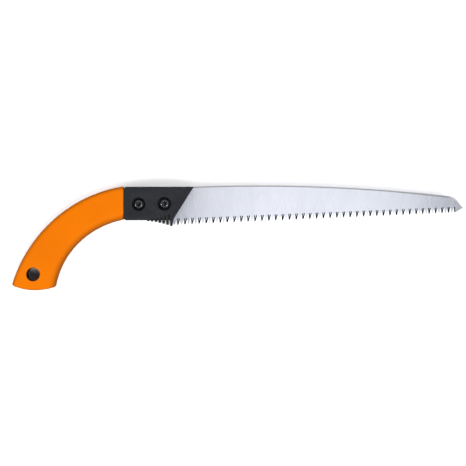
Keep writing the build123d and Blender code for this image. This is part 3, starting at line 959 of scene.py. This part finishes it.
def make_washer(name, centre, body, node, material):
    """A flat washer with the rolled edge that stamping leaves."""
    low, high, roll = HEAD_SEAT_Z - WASHER_THICKNESS, HEAD_SEAT_Z, 0.18
    rings = [(SCREW_HOLE, low + roll), (SCREW_HOLE + roll, low), (WASHER_RADIUS - roll, low)]
    rings += [(WASHER_RADIUS, low + roll), (WASHER_RADIUS, high - 2 * roll)]
    rings += [(WASHER_RADIUS - 0.05, high - roll), (WASHER_RADIUS - roll, high - 0.05)]
    rings += [(WASHER_RADIUS - 2 * roll, high), (SCREW_HOLE + roll, high), (SCREW_HOLE, high - roll)]
    piece = mesh_object(name, *turned(centre, 72, rings, closed=True), smooth_angle=35)
    piece.data.materials.append(material)
    dress(piece, "black_oxide_steel", body, node)


def make_nut(name, centre, node, material):
    """A hexagon nut with chamfered corners and a threaded hole."""
    low, high, across = NUT_LOW_Z, NUT_LOW_Z + NUT_THICKNESS, NUT_ACROSS
    flat, lead = hexagon(across), 0.35

    def corner(z, sign):
        def reach(angle):
            return min(flat(angle), across / 2 + 0.05 + (z - low if sign < 0 else high - z) / 0.577)
        return reach

    rings = [(NUT_HOLE + lead, low), (across / 2 - 0.25, low)]
    rings += [(corner(low + step, -1), low + step) for step in (0.0, 0.1, 0.2, 0.32)]
    rings += [(flat, low + 0.5), (flat, high - 0.5)]
    rings += [(corner(high - step, 1), high - step) for step in (0.32, 0.2, 0.1, 0.0)]
    rings += [(across / 2 - 0.25, high), (NUT_HOLE + lead, high)]
    bore = threaded_rings(NUT_HOLE + 0.28, 0.28, THREAD_PITCH, low + lead, high - lead)
    piece = mesh_object(name, *turned(centre, 96, rings + bore, closed=True), smooth_angle=28)
    piece.data.materials.append(material)
    dress(piece, "zinc_steel", "saw", node)


def cross_recess(angle):
    """Radius of a cross recess."""
    turn = abs((angle + pi / 4) % (pi / 2) - pi / 4)
    return min(1.5 / cos(turn), 0.36 / max(sin(turn), 0.2))


def make_core_screws(material):
    """The three self-tapping screws that close the halves on each other."""
    seat = CORE_HEAD_LOW_Z + CORE_HEAD_HEIGHT
    points, faces = [], []
    for centre in CORE_SCREWS:
        low = CORE_HEAD_LOW_Z
        rings = [(0.2, low + 1.3), (lambda angle: cross_recess(angle) * 0.5, low + 1.2)]
        rings += [(cross_recess, low + 0.06), (1.75, low)]
        for k in range(1, 6):
            angle = pi / 2 * k / 5
            rings.append((1.75 + (CORE_HEAD_RADIUS - 1.75) * sin(angle), low + 1.2 * (1 - cos(angle))))
        rings += [(CORE_HEAD_RADIUS, seat - 0.1), (CORE_HEAD_RADIUS - 0.1, seat)]
        rings += [(CORE_SHANK_RADIUS - 0.3, seat)]
        last = seat + CORE_SHANK_LENGTH
        shank = threaded_rings(CORE_SHANK_RADIUS, 0.4, CORE_THREAD_PITCH, seat + 0.3, last - 1.2)
        rings += list(reversed(shank)) + [(0.85, last - 0.9), (0.7, last)]
        more_points, more_faces = turned(centre, 48, rings)
        start = len(points)
        points += more_points
        faces += [tuple(start + number for number in face) for face in more_faces]
    piece = mesh_object("closing_screws", points, faces, smooth_angle=30)
    piece.data.materials.append(material)
    dress(piece, "zinc_steel", "saw", "core_screws")


# ---------------------------------------------------------------- studio


def make_floor(material):
    """A wide sheet of white paper under the saw."""
    half, gap = 12000.0, 0.02
    corners = [(-half, -half, 0.0), (half, -half, 0.0), (half, half, 0.0), (-half, half, 0.0)]
    floor = mesh_object("floor", corners, [(0, 1, 2, 3)])
    floor.location.z = -gap * MM
    floor.data.materials.append(material)


def make_world():
    """A sky with a bright ring above a dark horizon, and a plain backdrop for the camera."""
    world = bpy.data.worlds.new("studio")
    bpy.context.scene.world = world
    world.use_nodes = True
    nodes, links = world.node_tree.nodes, world.node_tree.links
    nodes.clear()
    where = nodes.new("ShaderNodeTexCoord")
    split = nodes.new("ShaderNodeSeparateXYZ")
    links.new(where.outputs["Generated"], split.inputs["Vector"])
    ramp = nodes.new("ShaderNodeValToRGB")
    links.new(split.outputs["Z"], ramp.inputs["Fac"])
    for position, _ in SKY_STOPS[1:-1]:
        ramp.color_ramp.elements.new(position)
    for stop, (_, level) in zip(ramp.color_ramp.elements, SKY_STOPS):
        stop.color = (level, level, level, 1.0)
    sky = nodes.new("ShaderNodeBackground")
    sky.inputs["Strength"].default_value = 1.0
    links.new(ramp.outputs["Color"], sky.inputs["Color"])
    backdrop = nodes.new("ShaderNodeBackground")
    backdrop.inputs["Color"].default_value = (0.9, 0.9, 0.91, 1.0)
    path = nodes.new("ShaderNodeLightPath")
    choose = nodes.new("ShaderNodeMixShader")
    links.new(path.outputs["Is Camera Ray"], choose.inputs["Fac"])
    links.new(sky.outputs["Background"], choose.inputs[1])
    links.new(backdrop.outputs["Background"], choose.inputs[2])
    output = nodes.new("ShaderNodeOutputWorld")
    links.new(choose.outputs["Shader"], output.inputs["Surface"])


def aim(obj, target):
    """Turns a light towards a point."""
    direction = Vector(target) - obj.location
    obj.rotation_euler = direction.to_track_quat("-Z", "Y").to_euler()


def add_sun(name, azimuth, tilt, spread, strength):
    """A wide, distant softbox: azimuth from +X, tilt from straight above, spread across."""
    light = bpy.data.lights.new(name, "SUN")
    light.energy, light.angle = strength, radians(spread)
    sun = bpy.data.objects.new(name, light)
    bpy.context.scene.collection.objects.link(sun)
    a, t = radians(azimuth), radians(tilt)
    sun.location = (sin(t) * cos(a), sin(t) * sin(a), cos(t))
    aim(sun, (0.0, 0.0, 0.0))


def add_softbox(name, place, size, power, colour):
    """A rectangular softbox that points straight down and that the camera doesn't see."""
    light = bpy.data.lights.new(name, "AREA")
    light.shape, light.size, light.size_y, light.energy = "RECTANGLE", size[0], size[1], power
    light.color = colour
    box = bpy.data.objects.new(name, light)
    bpy.context.scene.collection.objects.link(box)
    box.location = place
    aim(box, (place[0], place[1], 0.0))
    box.visible_camera = False


def make_camera():
    """Straight down on the saw, as far away as a long lens needs."""
    lens, sensor, view_width = 150.0, 36.0, 0.4846
    camera = bpy.data.objects.new("camera", bpy.data.cameras.new("camera"))
    bpy.context.scene.collection.objects.link(camera)
    camera.data.lens, camera.data.sensor_width = lens, sensor
    camera.data.clip_start, camera.data.clip_end = 0.05, 100.0
    camera.location = (-0.0056, 0.0049, MID_Z * MM + view_width * lens / sensor)
    bpy.context.scene.camera = camera


def main():
    """Builds every piece and the studio round it."""
    steel, facet, bevel = blade_steel(), facet_steel(), bevel_steel()
    nylon, oxide, zinc = black_nylon(), black_oxide(), zinc_plate()
    make_blade([steel, facet, bevel])
    make_grip(orange_rubber())
    make_core_half("core_half_right", "right_core_half", nylon)
    make_core_half("core_half_left", "left_core_half", nylon)
    for place_name, centre in (("front", FRONT_SCREW), ("rear", REAR_SCREW)):
        screw, washer = f"{place_name}_screw_body", f"{place_name}_washer_body"
        make_cap_screw(f"{place_name}_cap_screw", centre, screw, f"{place_name}_blade_screw", oxide)
        make_washer(f"{place_name}_flat_washer", centre, washer, f"{place_name}_washer", oxide)
        make_nut(f"{place_name}_captive_nut", centre, f"{place_name}_nut", zinc)
    make_core_screws(zinc)
    make_floor(floor_paper())
    make_world()
    add_sun("key", -90.0, 30.0, 24.0, 1.1)
    add_sun("glint_left", -158.0, 52.0, 11.0, 1.1)
    add_sun("glint_right", -32.0, 52.0, 11.0, 0.8)
    add_sun("low_right", -14.0, 70.0, 26.0, 0.07)
    add_softbox("overhead", (0.0855, 0.03, 0.3), (0.29, 0.30), 0.205, (1.0, 0.97, 0.93))
    make_camera()
    bpy.context.scene.view_settings.view_transform = "Standard"


main()
